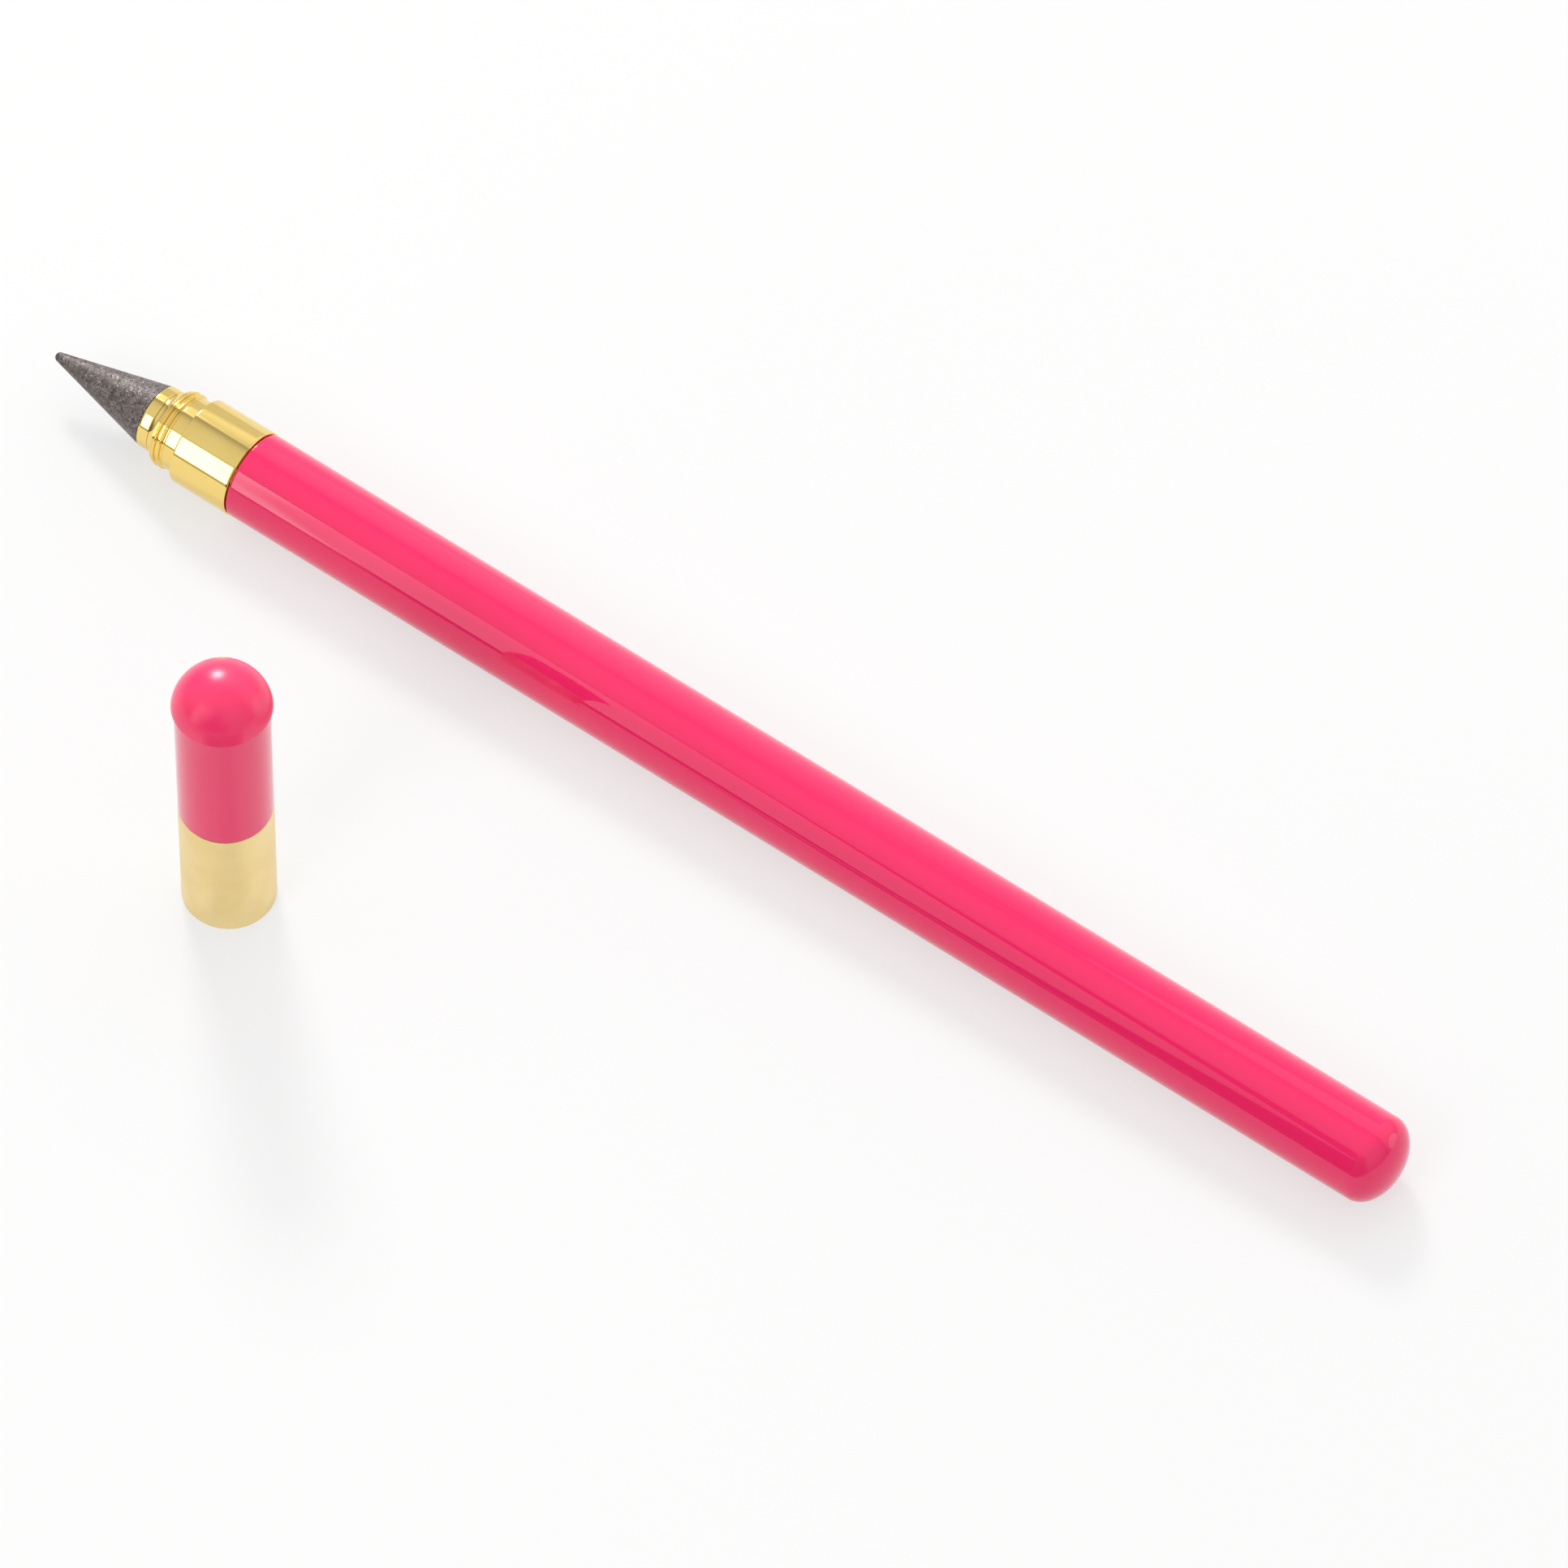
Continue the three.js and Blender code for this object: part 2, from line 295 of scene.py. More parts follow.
def mouldedPlastic(name, look):
    material, s = newMaterial(name)
    flow = s.noise(look["flowScale"], look["flowStretch"], look["flowBend"], detail=3)
    grain = s.noise(look["grainScale"], detail=3)
    s.surface(s.node("ShaderNodeBsdfPrincipled", {}, {
        "Base Color": s.blend(flow, colour(look["darker"]), colour(look["colour"])),
        "Roughness": look["roughness"] + look["grainDulls"] * grain,
        "Normal": s.bump(grain, look["grainHeight"], look["grainShare"]),
    }))
    return material


barrelLacquer = pinkLacquer("barrelLacquer", lacquerLook)
crownLacquer = pinkLacquer("crownLacquer", crownLook)
brightGold = polishedGold("brightGold", goldLook)
softGold = satinGold("softGold", satinLook)
graphite = mottledGraphite("graphite", graphiteLook)
linerWhite = mouldedPlastic("linerWhite", linerLook)
print("finishes made")


# An outline is a list of (radius, along) corners in millimetres. A third number says how far a corner is
# rounded, 0 keeps it sharp, and a corner without one is rounded by the softness.
gentleBend = math.radians(9)  # a corner that turns less than this is left as it is
longestShare = 0.45  # a rounding takes no more than this of the edges beside it
guardReach = 1.7  # extra points beside a rounding hold the shading of a long edge next to it
longEdge = 4  # how many roundings an edge has room for where it is long


def rounded(corners, closed, softness=0.03, steps=5):
    outline = []
    for i, corner in enumerate(corners):
        here = Vector(corner[:2])
        reach = corner[2] if len(corner) > 2 else softness
        isEnd = not closed and i in (0, len(corners) - 1)
        before = Vector(corners[i - 1][:2]) - here
        after = Vector(corners[(i + 1) % len(corners)][:2]) - here
        if isEnd or not reach or before.angle(-after) < gentleBend:
            outline.append(here)
            continue
        reach = min(reach, longestShare * before.length, longestShare * after.length)
        start = here + before.normalized() * reach
        end = here + after.normalized() * reach
        if before.length > longEdge * reach:
            outline.append(here + before.normalized() * reach * guardReach)
        for k in range(steps + 1):
            t = k / steps
            outline.append(start * (1 - t) ** 2 + here * 2 * t * (1 - t) + end * t ** 2)
        if after.length > longEdge * reach:
            outline.append(here + after.normalized() * reach * guardReach)
    return outline


def arc(radius, along, halfWidth, halfLength, fromDegrees, toDegrees, steps):
    turn = toDegrees - fromDegrees
    angles = [math.radians(fromDegrees + turn * i / steps) for i in range(steps + 1)]
    return [Vector((radius + halfWidth * math.cos(a), along + halfLength * math.sin(a))) for a in angles]


sharpBend = math.radians(34)  # an edge that turns more than this is shaded as a sharp one
tubeSegments = 192  # faces round the barrel, the cap's outside and their domes, where the rest has 128
sameRadius = 0.001  # radii closer than this are the same one
atAxis = 1e-6  # an outline's point nearer to the axis than this is one on it


# Spins an outline round the piece's own Z axis. shape gives the radius where a thread or ribs change it.
def spin(name, outline, place, material, closed=True, shape=None, segments=128):
    vertices, rings, faces = [], [], []
    for radius, along in outline:
        if radius < atAxis:
            rings.append([len(vertices)] * segments)
            vertices.append((0, 0, along * mm))
            continue
        rings.append([len(vertices) + k for k in range(segments)])
        for k in range(segments):
            angle = 2 * math.pi * k / segments
            reach = (shape(radius, along, angle) if shape else radius) * mm
            vertices.append((reach * math.cos(angle), reach * math.sin(angle), along * mm))
    pairs = list(zip(rings, rings[1:]))
    if closed:
        pairs.append((rings[-1], rings[0]))
    for low, high in pairs:
        for k in range(segments):
            after = (k + 1) % segments
            square = [low[k], low[after], high[after], high[k]]
            face = [vertex for i, vertex in enumerate(square) if vertex != square[i - 1]]
            if len(face) > 2:
                faces.append(face)
    mesh = bpy.data.meshes.new(name)
    mesh.from_pydata(vertices, [], faces)
    mesh.shade_smooth()
    mesh.set_sharp_from_angle(angle=sharpBend)
    mesh.materials.append(material)
    piece = bpy.data.objects.new(name, mesh)
    bpy.context.scene.collection.objects.link(piece)
    piece.matrix_world = place
    return piece


def standsFor(piece, body, node):
    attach(piece, body)
    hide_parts(node)


def radiusOf(node, axis):
    low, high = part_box(node)
    return (high[axis] - low[axis]) / 2 / mm


# The pencil's pieces lie along X, with their own Z from the nib's point to the rear. The cap's stand up.
tip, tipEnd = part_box("nib_tip")
mouth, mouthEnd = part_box("cap_band")
alongX = Matrix(((0, 0, 1, 0), (0, 1, 0, 0), (-1, 0, 0, 0), (0, 0, 0, 1)))
pencilPlace = Matrix.Translation((tip.x, (tip.y + tipEnd.y) / 2, (tip.z + tipEnd.z) / 2)) @ alongX
capPlace = Matrix.Translation(((mouth.x + mouthEnd.x) / 2, (mouth.y + mouthEnd.y) / 2, mouth.z))


# Where a node starts and ends, in millimetres from the nib's point
def fromTip(node):
    low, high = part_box(node)
    return (low.x - tip.x) / mm, (high.x - tip.x) / mm


# The same for the cap, from its mouth up
def fromMouth(node):
    low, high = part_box(node)
    return (low.z - mouth.z) / mm, (high.z - mouth.z) / mm


# The thread of the nib's stem and of the ferrule's socket
thread = {"pitch": 0.5, "depth": 0.27, "crest": 0.12, "pointsPerTurn": 10}


# How deep the V is cut at one point of its cylinder, from 0 at the crest to 1 at the root. It runs out over
# one pitch at each end.
def threadCut(along, angle, start, end):
    pitch = thread["pitch"]
    phase = (along / pitch - angle / (2 * math.pi)) % 1
    flank = 1 - 2 * thread["crest"]
    cut = min(max((1 - abs(2 * phase - 1) - thread["crest"]) / flank, 0), 1)
    return cut * min(max((along - start) / pitch, 0), 1) * min(max((end - along) / pitch, 0), 1)


# The shape of a cylinder with a thread cut outwards, or inwards where way is -1
def threaded(cylinder, way, start, end):
    def shape(radius, along, angle):
        if abs(radius - cylinder) > sameRadius:
            return radius
        return radius + way * thread["depth"] * threadCut(along, angle, start, end)
    return shape


# Puts the points that a thread needs into the outline's straight stretch at its radius
def withThread(outline, radius, start, end):
    count = round(abs(end - start) * thread["pointsPerTurn"] / thread["pitch"])
    turns = [Vector((radius, start + (end - start) * i / count)) for i in range(count + 1)]
    for i in range(len(outline) - 1):
        here, after = outline[i], outline[i + 1]
        straight = abs(here.x - radius) < sameRadius and abs(after.x - radius) < sameRadius
        if straight and abs(after.y - here.y) > abs(end - start):
            return outline[:i + 1] + turns + outline[i + 1:]
    return outline


# Half-round ribs along the spigots of the rear plug and the crown
crushRibs = {"count": 6, "depth": 0.148, "radius": 0.35, "slack": 0.02}


def ribbed(spigot, start, end):
    rib = crushRibs["radius"]
    middle = spigot + crushRibs["depth"] - rib
    share = 2 * math.pi / crushRibs["count"]

    def shape(radius, along, angle):
        if abs(radius - spigot) > crushRibs["slack"] or not start < along < end:
            return radius
        turn = angle % share - share / 2
        aside = middle * math.sin(turn)
        if abs(aside) >= rib:
            return radius
        return max(radius, middle * math.cos(turn) + math.sqrt(rib ** 2 - aside ** 2))
    return shape


# Nib: graphite cone and gold holder. The cone's length and the collar's end are measured from the point.
coneShape = {
    "length": 12.25, "pointRadius": 0.5, "pointSteps": 10, "flankSteps": 12, "rimEdge": 0.07,
    "shank": 1.495, "shankEdge": 0.12,
}
holderShape = {
    "glueGap": 0.05, "collarEnd": 13.55, "frontEdge": 0.14, "rearEdge": 0.12,
    "relief": 2.143, "reliefLength": 0.6, "stem": 2.492, "stemFrontEdge": 0.05, "stemEndEdge": 0.12,
    "threadStart": 0.1, "threadStop": 0.2, "threadInset": 0.05,
}


# The flank runs from the ball of the point, which it touches, to the rim
def makeCone():
    v = coneShape
    base = radiusOf("nib_tip", 2)
    end = fromTip("nib_tip")[1]
    length, ball = v["length"], v["pointRadius"]
    toCentre = length - ball
    halfAngle = math.acos(ball / math.hypot(base, toCentre)) - math.atan2(toCentre, base)
    point = arc(0, ball, ball, ball, -90, -math.degrees(halfAngle), v["pointSteps"])
    point[0].x = 0
    rim = Vector((base, length))
    flank = [point[-1].lerp(rim, i / v["flankSteps"]) for i in range(1, v["flankSteps"])]
    corners = [tuple(point[-1]), (base, length, v["rimEdge"]), (v["shank"], length),
               (v["shank"], end, v["shankEdge"]), (0, end)]
    outline = point + flank + rounded(corners, False)[1:]
    cone = spin("nib_cone", outline, pencilPlace, graphite, closed=False)
    standsFor(cone, "nib", "nib_tip")


def makeHolder():
    v = holderShape
    collar = radiusOf("nib_holder", 2)
    start, end = fromTip("nib_holder")
    bore = coneShape["shank"] + v["glueGap"]
    boreEnd = fromTip("nib_tip")[1] + v["glueGap"]
    stemStart = v["collarEnd"] + v["reliefLength"]
    corners = [(0, boreEnd), (bore, boreEnd), (bore, start), (collar, start, v["frontEdge"]),
               (collar, v["collarEnd"], v["rearEdge"]), (v["relief"], v["collarEnd"]),
               (v["relief"], stemStart), (v["stem"], stemStart, v["stemFrontEdge"]),
               (v["stem"], end, v["stemEndEdge"]), (0, end)]
    threadStart = stemStart + v["threadStart"]
    threadEnd = end - v["threadStop"]
    outline = withThread(
        rounded(corners, False), v["stem"], threadStart + v["threadInset"], threadEnd - v["threadInset"])
    holder = spin("nib_collar", outline, pencilPlace, brightGold, closed=False,
                  shape=threaded(v["stem"], -1, threadStart, threadEnd))
    standsFor(holder, "nib", "nib_holder")


makeCone()
makeHolder()
print("nib made")


# Ferrule: flare, snap ridges, neck, sleeve and the tenon inside the barrel. The end of the nib's socket in
# it is measured from the point.
ferruleShape = {
    "flareLength": 0.75, "flareEdge": 0.004, "flareSteps": 10, "collar": 3.335, "lip": 0.1,
    "neck": 3.893, "neckLength": 1.71, "groove": 3.823, "grooveSlope": 0.07, "grooveEdge": 0.04,
    "ridges": 2, "ridge": 4.092, "ridgePitch": 0.62, "ridgeWidth": 0.36, "ridgeSlope": 0.1,
    "ridgeEdge": 0.06,
    "sleeveLength": 6.6, "sleeveFrontEdge": 0.11, "sleeveRearEdge": 0.15,
    "tenon": 3.958, "tenonEdge": 0.12, "glueGrooves": 3, "glueGrooveWidth": 0.8, "glueGrooveDepth": 0.25,
    "airHole": 1.2, "socket": 2.542, "socketEnd": 20.35, "mouthBreak": 0.1, "mouthEdge": 0.05,
    "threadStart": 0.3, "threadStop": 0.25,
}


# The ridges that the cap snaps over, with an undercut groove beside each
def ridgeCorners(start):
    v = ferruleShape
    corners = []
    for i in range(v["ridges"]):
        ridgeEnd = start + (i + 1) * v["ridgePitch"]
        ridgeStart = ridgeEnd - v["ridgeWidth"]
        corners += [(v["groove"], ridgeStart, v["grooveEdge"]),
                    (v["ridge"], ridgeStart + v["ridgeSlope"], v["ridgeEdge"]),
                    (v["ridge"], ridgeEnd - v["ridgeSlope"], v["ridgeEdge"]),
                    (v["groove"], ridgeEnd, v["grooveEdge"])]
    return corners


# The glue grooves, evenly spaced along the tenon
def glueGrooveCorners(start, end):
    v = ferruleShape
    spacing = (end - start) / (v["glueGrooves"] + 1)
    floor = v["tenon"] - v["glueGrooveDepth"]
    corners = []
    for i in range(v["glueGrooves"]):
        low = start + (i + 1) * spacing - v["glueGrooveWidth"] / 2
        high = low + v["glueGrooveWidth"]
        corners += [(v["tenon"], low), (floor, low), (floor, high), (v["tenon"], high)]
    return corners


def makeFerrule():
    v = ferruleShape
    sleeve = radiusOf("ferrule", 2)
    start, end = fromTip("ferrule")
    ridgesStart = start + v["flareLength"]
    ridgesEnd = ridgesStart + v["ridges"] * v["ridgePitch"]
    shoulder = ridgesEnd + v["neckLength"]
    sleeveEnd = shoulder + v["sleeveLength"]
    lipEnd = ridgesStart + v["lip"]
    flare = arc(v["neck"], start, v["neck"] - v["collar"], v["flareLength"], 180, 90, v["flareSteps"])
    corners = [(v["socket"] + v["mouthBreak"], start, v["mouthEdge"])]
    corners += [(radius, along, v["flareEdge"]) for radius, along in flare]
    corners += [(v["neck"], lipEnd), (v["groove"], lipEnd + v["grooveSlope"])]
    corners += ridgeCorners(ridgesStart)
    neckStart = ridgesEnd + v["ridgePitch"] - v["ridgeWidth"]
    corners += [(v["groove"], neckStart - v["grooveSlope"]), (v["neck"], neckStart), (v["neck"], shoulder),
                (sleeve, shoulder, v["sleeveFrontEdge"]), (sleeve, sleeveEnd, v["sleeveRearEdge"]),
                (v["tenon"], sleeveEnd)]
    corners += glueGrooveCorners(sleeveEnd, end)
    corners += [(v["tenon"], end, v["tenonEdge"]), (v["airHole"], end), (v["airHole"], v["socketEnd"]),
                (v["socket"], v["socketEnd"]), (v["socket"], start + v["mouthBreak"], v["mouthEdge"])]
    threadStart = start + v["threadStart"]
    threadEnd = v["socketEnd"] - v["threadStop"]
    outline = withThread(rounded(corners, True), v["socket"], threadEnd, threadStart)
    ferrule = spin("turned_ferrule", outline, pencilPlace, brightGold,
                   shape=threaded(v["socket"], 1, threadStart, threadEnd))
    standsFor(ferrule, "pencil", "ferrule")


makeFerrule()
print("ferrule made")


# Barrel and its rear plug, whose dome carries on from the barrel without a gap
barrelShape = {"wall": 0.5, "frontGap": 0.12, "frontEdge": 0.14, "rearEdge": 0}
plugShape = {
    "spigot": 3.808, "spigotWall": 0.9, "spigotEdge": 0.12, "ribsFromFoot": 0.9, "ribsToRim": 0.05,
    "domeStart": 3, "domeSteps": 28,
}
toDome = 0.1  # how far past the rim a straight edge is drawn or aimed before the dome takes over


def makeBarrel():
    v = barrelShape
    radius = radiusOf("barrel", 2)
    start, end = fromTip("barrel")
    start += v["frontGap"]
    bore = radius - v["wall"]
    corners = [(bore, start), (radius, start, v["frontEdge"]), (radius, end, v["rearEdge"]), (bore, end)]
    outline = rounded(corners, True)
    tube = spin("lacquered_barrel", outline, pencilPlace, barrelLacquer, segments=tubeSegments)
    standsFor(tube, "pencil", "barrel")


def makeRearPlug():
    v = plugShape
    radius = radiusOf("rear_plug", 2)
    foot, apex = fromTip("rear_plug")
    rim = fromTip("barrel")[1]
    spigot = v["spigot"]
    hollow = spigot - v["spigotWall"]
    corners = [(0, rim), (hollow, rim), (hollow, foot), (spigot, foot, v["spigotEdge"]), (spigot, rim),
               (radius, rim, 0), (radius, rim + toDome)]
    head = arc(0, rim, radius, apex - rim, v["domeStart"], 90, v["domeSteps"])
    head[-1].x = 0
    outline = rounded(corners, False)[:-1] + head
    plug = spin("domed_rear_plug", outline, pencilPlace, barrelLacquer, closed=False, segments=tubeSegments,
                shape=ribbed(spigot, foot + v["ribsFromFoot"], rim - v["ribsToRim"]))
    standsFor(plug, "pencil", "rear_plug")


makeBarrel()
makeRearPlug()
print("barrel made")


# Cap: band with the rolled bead in its mouth, liner, shell and crown
bandShape = {
    "wall": 0.3, "beadBore": 4.043, "beadLength": 0.6, "beadEdge": 0.1, "beadFoot": 0.12, "mouthBreak": 0.2,
    "topEdge": 0.05,
}
linerShape = {"wall": 0.55, "edge": 0.12}
shellShape = {"wall": 0.3, "mouthEdge": 0.06, "topEdge": 0.05}
crownShape = {
    "spigot": 4.083, "spigotWall": 0.9, "spigotEdge": 0.12, "seatGap": 0.05, "rimEdge": 0.05,
    "ribsFromFoot": 0.12, "ribsToRim": 0.05, "hollowStop": 3, "hollowSteps": 16,
    "domeStart": 1.5, "domeSteps": 40,
}


def makeBand():
    v = bandShape
    radius = radiusOf("cap_band", 0)
    end = fromMouth("cap_band")[1]
    bore = radius - v["wall"]
    rampEnd = v["beadLength"] + bore - v["beadBore"]
    corners = [(v["beadBore"], 0, v["beadFoot"]), (radius, 0, v["mouthBreak"]), (radius, end, v["topEdge"]),
               (bore, end), (bore, rampEnd, v["beadEdge"]), (v["beadBore"], v["beadLength"], v["beadEdge"])]
    band = spin("gold_mouth_band", rounded(corners, True), capPlace, softGold, segments=tubeSegments)
    standsFor(band, "cap", "cap_band")


def makeLiner():
    v = linerShape
    radius = radiusOf("cap_liner", 0)
    start, end = fromMouth("cap_liner")
    bore = radius - v["wall"]
    corners = [(bore, start, v["edge"]), (radius, start, v["edge"]), (radius, end, v["edge"]), (bore, end)]
    liner = spin("cap_liner_sleeve", rounded(corners, True), capPlace, linerWhite)
    standsFor(liner, "cap", "cap_liner")


def makeShell():
    v = shellShape
    radius = radiusOf("cap_shell", 0)
    start, end = fromMouth("cap_shell")
    bore = radius - v["wall"]
    corners = [(bore, start), (radius, start, v["mouthEdge"]), (radius, end, v["topEdge"]), (bore, end)]
    outline = rounded(corners, True)
    shell = spin("lacquered_cap_shell", outline, capPlace, barrelLacquer, segments=tubeSegments)
    standsFor(shell, "cap", "cap_shell")


# The crown's dome is part of a ball that reaches the top of the crown's box and is as wide as it at the rim
def makeCrown():
    v = crownShape
    radius = radiusOf("cap_crown", 0)
    start, apex = fromMouth("cap_crown")
    foot = fromMouth("cap_shell")[1] + v["seatGap"]
    spigot = v["spigot"]
    hollow = spigot - v["spigotWall"]
    height = apex - foot
    inside = arc(0, foot, hollow, height - v["spigotWall"], 90, v["hollowStop"], v["hollowSteps"])
    inside[0].x = 0
    rimAngle = 90 - 2 * math.degrees(math.atan2(height, radius))
    ball = radius / math.cos(math.radians(rimAngle))
    outside = arc(0, apex - ball, ball, ball, rimAngle + v["domeStart"], 90, v["domeSteps"])
    outside[-1].x = 0
    corners = [(hollow, foot + toDome), (hollow, start), (spigot, start, v["spigotEdge"]), (spigot, foot),
               (radius, foot, v["rimEdge"]), tuple(outside[0])]
    outline = inside + rounded(corners, False)[:-1] + outside
    crown = spin("domed_crown", outline, capPlace, crownLacquer, closed=False, segments=tubeSegments,
                 shape=ribbed(spigot, start + v["ribsFromFoot"], foot - v["ribsToRim"]))
    standsFor(crown, "cap", "cap_crown")


makeBand()
makeLiner()
makeShell()
makeCrown()
print("cap made")


def facing(direction):
    return direction.to_track_quat("-Z", "Y").to_matrix().to_4x4()


# The direction at an azimuth, which runs from the front (0) to the right (90), and an elevation
def bearing(azimuth, elevation):
    a, e = math.radians(azimuth), math.radians(elevation)
    return Vector((math.sin(a) * math.cos(e), -math.cos(a) * math.cos(e), math.sin(e)))


def makeSheet(name, corners, material):
    mesh = bpy.data.meshes.new(name)
    mesh.from_pydata(corners, [], [(0, 1, 2, 3)])
    mesh.materials.append(material)
    sheet = bpy.data.objects.new(name, mesh)
    bpy.context.scene.collection.objects.link(sheet)
    return sheet


def onlyReflected(sheet):
    sheet.visible_camera = sheet.visible_diffuse = sheet.visible_shadow = False


# A strength of 1 shows as white to the camera, and the shadow stays in what the diffuse part adds
floorLook = {
    "size": 3.0, "colour": (224, 224, 223), "paler": (230, 230, 229), "mottleScale": 6, "shownWhite": 0.62,
}


def makeFloor():
    look = floorLook
    material, s = newMaterial("paleFloor")
    camera = s.node("ShaderNodeLightPath", {}, {}, "Is Camera Ray")
    seen = camera + camera.twin("Is Glossy Ray") + camera.twin("Is Transmission Ray")
    mottle = s.noise(look["mottleScale"])
    tint = s.blend(mottle, colour(look["colour"]), colour(look["paler"]))
    paint = s.node("ShaderNodeBsdfDiffuse", {}, {"Color": tint})
    glow = s.node("ShaderNodeEmission", {}, {"Color": (1, 1, 1, 1), "Strength": 1.0})
    s.surface(s.node("ShaderNodeMixShader", {}, {0: seen * look["shownWhite"], 1: paint, 2: glow}))
    half = look["size"] / 2
    corners = [(-half, -half, 0), (half, -half, 0), (half, half, 0), (-half, half, 0)]
    makeSheet("studio_floor", corners, material)


# Where each lamp stands as seen from the object, how far off, how big and bright, and whether reflections
# show it
lamps = {
    "keyLamp": {
        "azimuth": -132.4, "elevation": 40.7, "distance": 1.63, "size": 0.41, "shine": 30.0, "shown": True},
    "skyLamp": {
        "azimuth": -150, "elevation": 62, "distance": 0.8, "size": 0.6, "shine": 0.75, "shown": False},
    "fillLamp": {
        "azimuth": -6, "elevation": 40, "distance": 1.2, "size": 0.5, "shine": 5.0, "shown": False},
    "rightLamp": {
        "azimuth": 130, "elevation": 8, "distance": 0.9, "size": 0.45, "shine": 1.0, "shown": True},
}


# Shine is the brightness of the lamp's face, so a bigger lamp of the same shine gives more light
def makeLamp(name, look):
    faceArea = math.pi * look["size"] ** 2 / 4
    light = bpy.data.lights.new(name, "AREA")
    light.shape = "DISK"
    light.size = look["size"]
    light.energy = look["shine"] * faceArea * math.pi
    lamp = bpy.data.objects.new(name, light)
    bpy.context.scene.collection.objects.link(lamp)
    way = bearing(look["azimuth"], look["elevation"])
    lamp.matrix_world = Matrix.Translation(way * look["distance"]) @ facing(-way)
    lamp.visible_camera = False
    lamp.visible_glossy = look["shown"]


# Upright glowing cards along the pencil that only reflections see. A card's foot runs from the start to the
# end, both less the shift, and each metre of height leans it further towards the nib by the lean, because
# the pencil's side mirrors what stands nearer to the nib. The light, the sill, the lintel and the tone
# beyond them run from that start (0) to the end (1), and the fade runs from the foot (0) to the top (1).
# Sill and lintel are shares of the card's height, with a lintel of 2 out of reach above it, and a bigger edge
# makes them sharper.
cards = {
    "windowCard": {
        "aside": -0.381, "top": 0.485, "start": -0.08, "end": 0.14, "shift": 0.14, "lean": 0.207,
        "shine": 4.2, "edge": 30,
        "light": [(0.0, 1.0), (0.14, 1.0), (0.19, 0.5), (0.41, 0.35), (0.57, 0.29), (0.82, 0.22),
                  (1.0, 0.16)],
        "sill": [(0.0, 0.085), (0.14, 0.085), (0.19, 0.115), (0.45, 0.11), (0.56, 0.08), (0.7, 0.18),
                 (0.84, 0.35), (1.0, 0.58)],
        "lintel": [(0.0, 1.0), (0.33, 1.0), (0.53, 0.93), (0.67, 0.81), (0.88, 0.71), (1.0, 0.6)],
        "beyond": [(0.0, 0.11), (0.14, 0.11), (0.19, 0.01), (1.0, 0.01)],
        "fade": [(0.0, 1.0), (1.0, 1.0)],
    },
    "backCard": {
        "aside": 0.5, "top": 1.05, "start": -0.14, "end": 0.14, "shift": 0.121, "lean": 0.32,
        "shine": 2.4, "edge": 30,
        "light": [(0.0, 1.0), (0.275, 1.0), (0.282, 0.8), (0.302, 0.8), (0.308, 0.45), (0.46, 0.45),
                  (0.62, 0.4), (0.82, 0.3), (0.96, 0.21), (1.0, 0.2)],
        "sill": [(0.0, 0.42), (0.275, 0.42), (0.282, 0.74), (0.302, 0.74), (0.308, 0.0), (1.0, 0.0)],
        "lintel": [(0.0, 2.0), (1.0, 2.0)],
        "beyond": [(0.0, 0.32), (0.275, 0.32), (0.282, 0.42), (1.0, 0.42)],
        "fade": [(0.0, 1.0), (0.4, 1.0), (1.0, 0.6)],
    },
}


def makeCard(name, look):
    material, s = newMaterial(name)
    spot = s.node("ShaderNodeTexCoord", {}, {}, "Object")
    aside = s.node("ShaderNodeSeparateXYZ", {}, {"Vector": spot}, "X")
    height = aside.twin("Z")
    offset = look["shift"] - look["start"]
    along = (aside + look["lean"] * height + offset) / (look["end"] - look["start"])
    climb = height / look["top"]
    overSill = s.above(climb - s.ramp(along, look["sill"]), look["edge"])
    underLintel = s.above(s.ramp(along, look["lintel"]) - climb, look["edge"])
    inside = overSill * underLintel
    tone = s.ramp(along, look["light"]) * inside + s.ramp(along, look["beyond"]) * (1 - inside)
    shown = tone * s.ramp(climb, look["fade"])
    s.surface(s.node("ShaderNodeEmission", {}, {"Color": shown, "Strength": look["shine"]}))
    y, top = look["aside"], look["top"]
    rake = look["lean"] * top
    left, right = look["start"] - look["shift"], look["end"] - look["shift"]
    corners = [(left, y, 0), (right, y, 0), (right - rake, y, top), (left - rake, y, top)]
    onlyReflected(makeSheet(name, corners, material))


# An unlit patch of floor in front of the cap that only reflections see, between two bearings and two
# distances from the middle of the cap's mouth
unlitLook = {
    "from": 4, "to": 74, "near": 0.034, "far": 0.32, "tone": 0.03, "mottle": 0.04, "mottleScale": 20,
    "overFloor": 0.6 * mm,
}


def makeUnlitPatch():
    look = unlitLook
    foot = Vector((*capPlace.translation.xy, look["overFloor"]))
    material, s = newMaterial("unlitPatch")
    shade = s.noise(look["mottleScale"]) * look["mottle"] + look["tone"]
    s.surface(s.node("ShaderNodeEmission", {}, {"Color": shade, "Strength": 1.0}))
    ends = [("from", "near"), ("to", "near"), ("to", "far"), ("from", "far")]
    corners = [foot + bearing(look[angle], 0) * look[reach] for angle, reach in ends]
    onlyReflected(makeSheet("unlit_patch", corners, material))


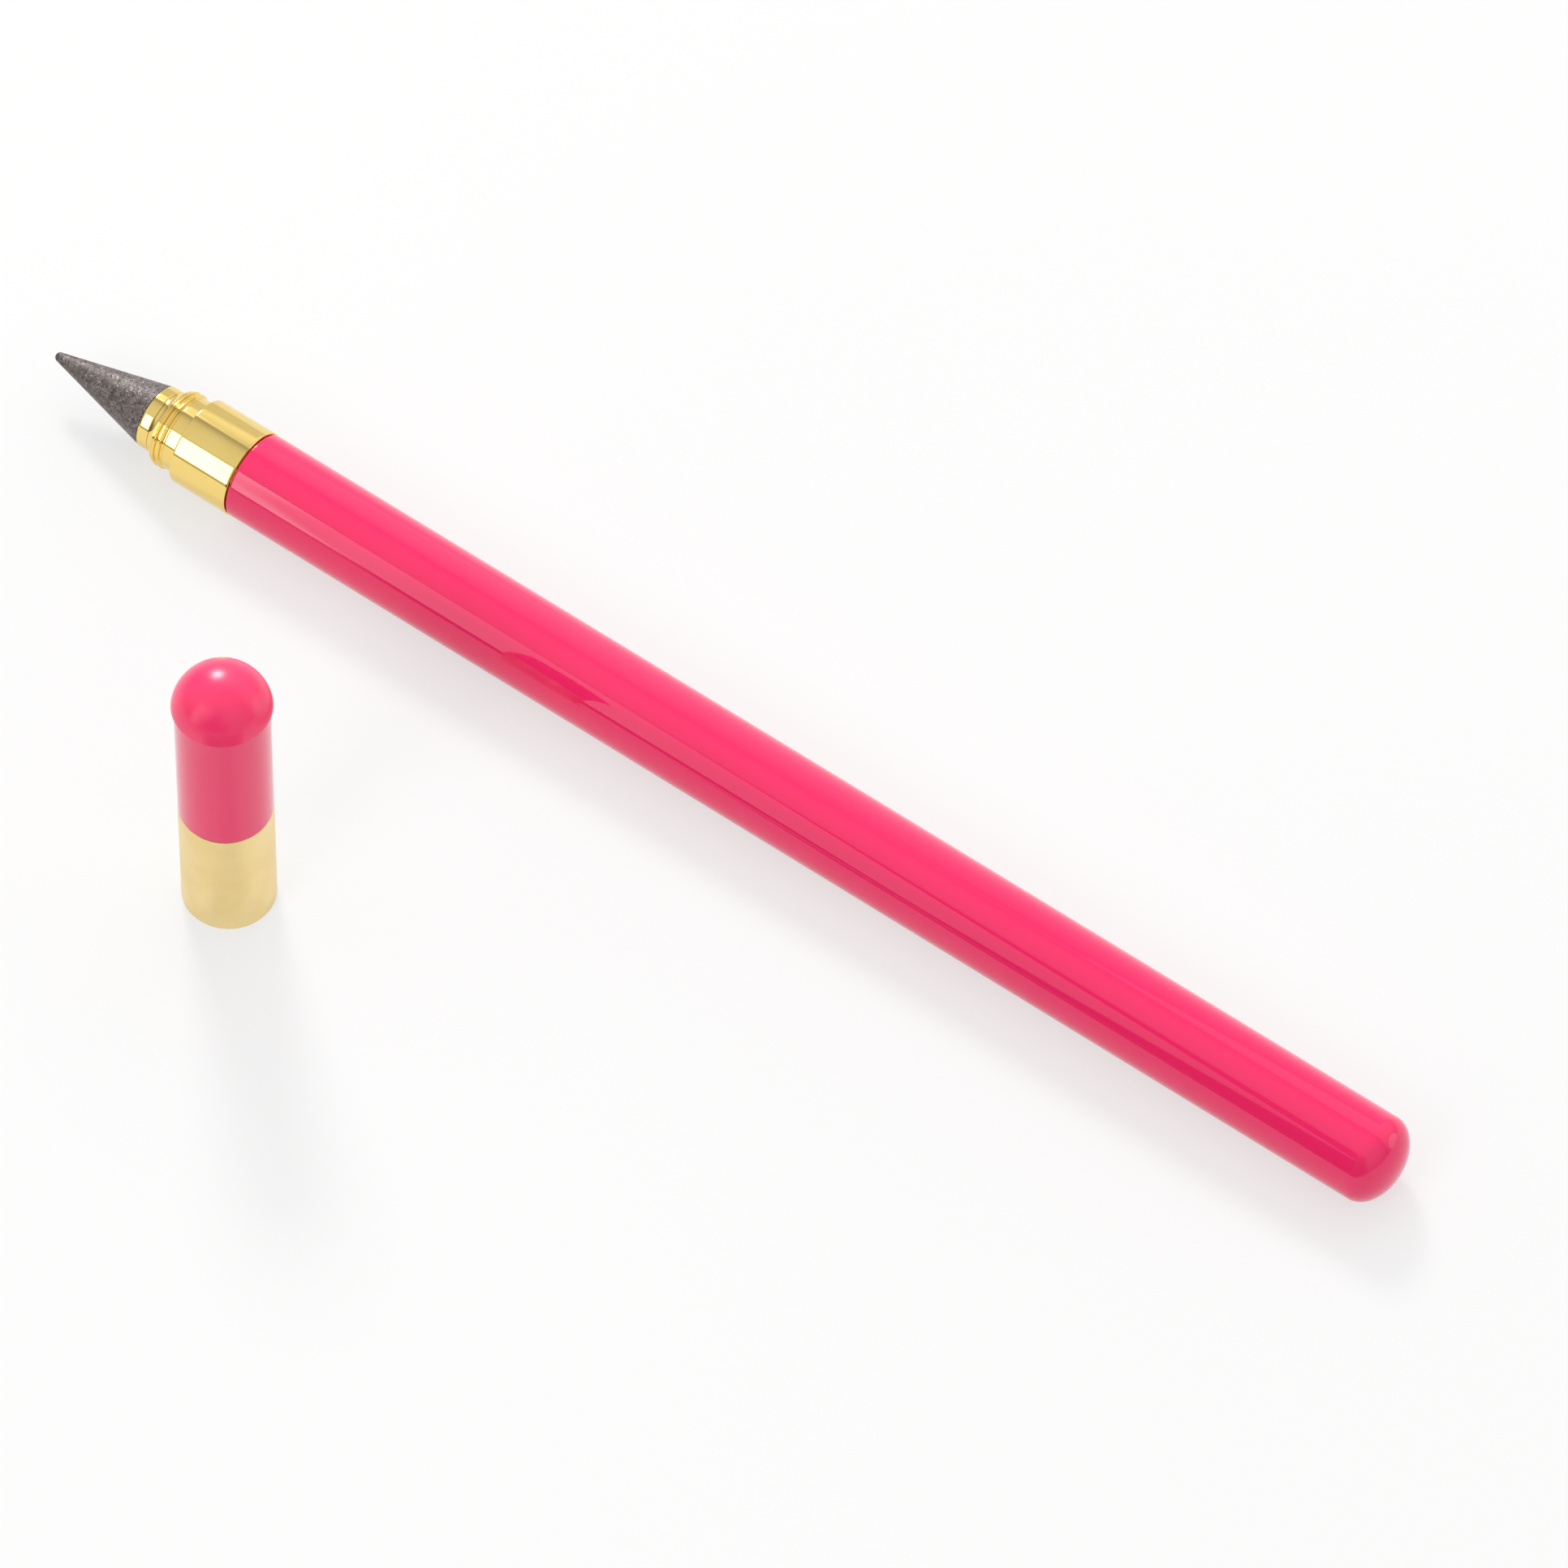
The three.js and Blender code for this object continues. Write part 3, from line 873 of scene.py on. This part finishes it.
# How bright the room is from the front (0) over the middle (0.5) to the back (1), and from level (0) to
# overhead (1)
roomLook = {
    "across": [(0.0, 0.25), (0.13, 0.25), (0.24, 0.85), (0.45, 0.8), (0.55, 0.72), (0.668, 0.42),
               (0.7, 0.96), (0.85, 1.0), (1.0, 0.95)],
    "rise": [(0.0, 0.55), (0.14, 0.7), (0.45, 1.0)],
}


def makeRoom():
    world = bpy.data.worlds.new("paleRoom")
    bpy.context.scene.world = world
    s = Shading(world)
    way = s.node("ShaderNodeTexCoord", {}, {}, "Generated")
    depth = s.node("ShaderNodeSeparateXYZ", {}, {"Vector": way}, "Y")
    tone = s.ramp(depth * 0.5 + 0.5, roomLook["across"]) * s.ramp(depth.twin("Z"), roomLook["rise"])
    sky = s.node("ShaderNodeBackground", {}, {"Color": tone, "Strength": 1.0})
    s.node("ShaderNodeOutputWorld", {}, {"Surface": sky})


makeFloor()
for name, look in lamps.items():
    makeLamp(name, look)
for name, look in cards.items():
    makeCard(name, look)
makeUnlitPatch()
makeRoom()
print("studio made")


# The photograph's view: the camera stands at this bearing and distance, moved aside and up in its own frame
photoView = {
    "azimuth": 35.093, "elevation": 55.892, "roll": 1.175, "distance": 1.3, "aside": 0.017713,
    "above": 0.012381, "lens": 314.8, "sensor": 36.0, "nearest": 0.01, "farthest": 20,
}


def makeCamera():
    v = photoView
    back = bearing(v["azimuth"], v["elevation"])
    right = Vector((0, 0, 1)).cross(back).normalized()
    up = back.cross(right)
    turn = Matrix.Rotation(math.radians(v["roll"]), 3, back)
    right, up = turn @ right, turn @ up
    lens = bpy.data.cameras.new("photoCamera")
    lens.lens = v["lens"]
    lens.sensor_width = v["sensor"]
    lens.clip_start = v["nearest"]
    lens.clip_end = v["farthest"]
    camera = bpy.data.objects.new("photoCamera", lens)
    bpy.context.scene.collection.objects.link(camera)
    spot = back * v["distance"] + right * v["aside"] + up * v["above"]
    camera.matrix_world = Matrix.Translation(spot) @ Matrix((right, up, back)).transposed().to_4x4()
    bpy.context.scene.camera = camera


makeCamera()
bpy.context.scene.view_settings.view_transform = "Standard"
print("camera made")
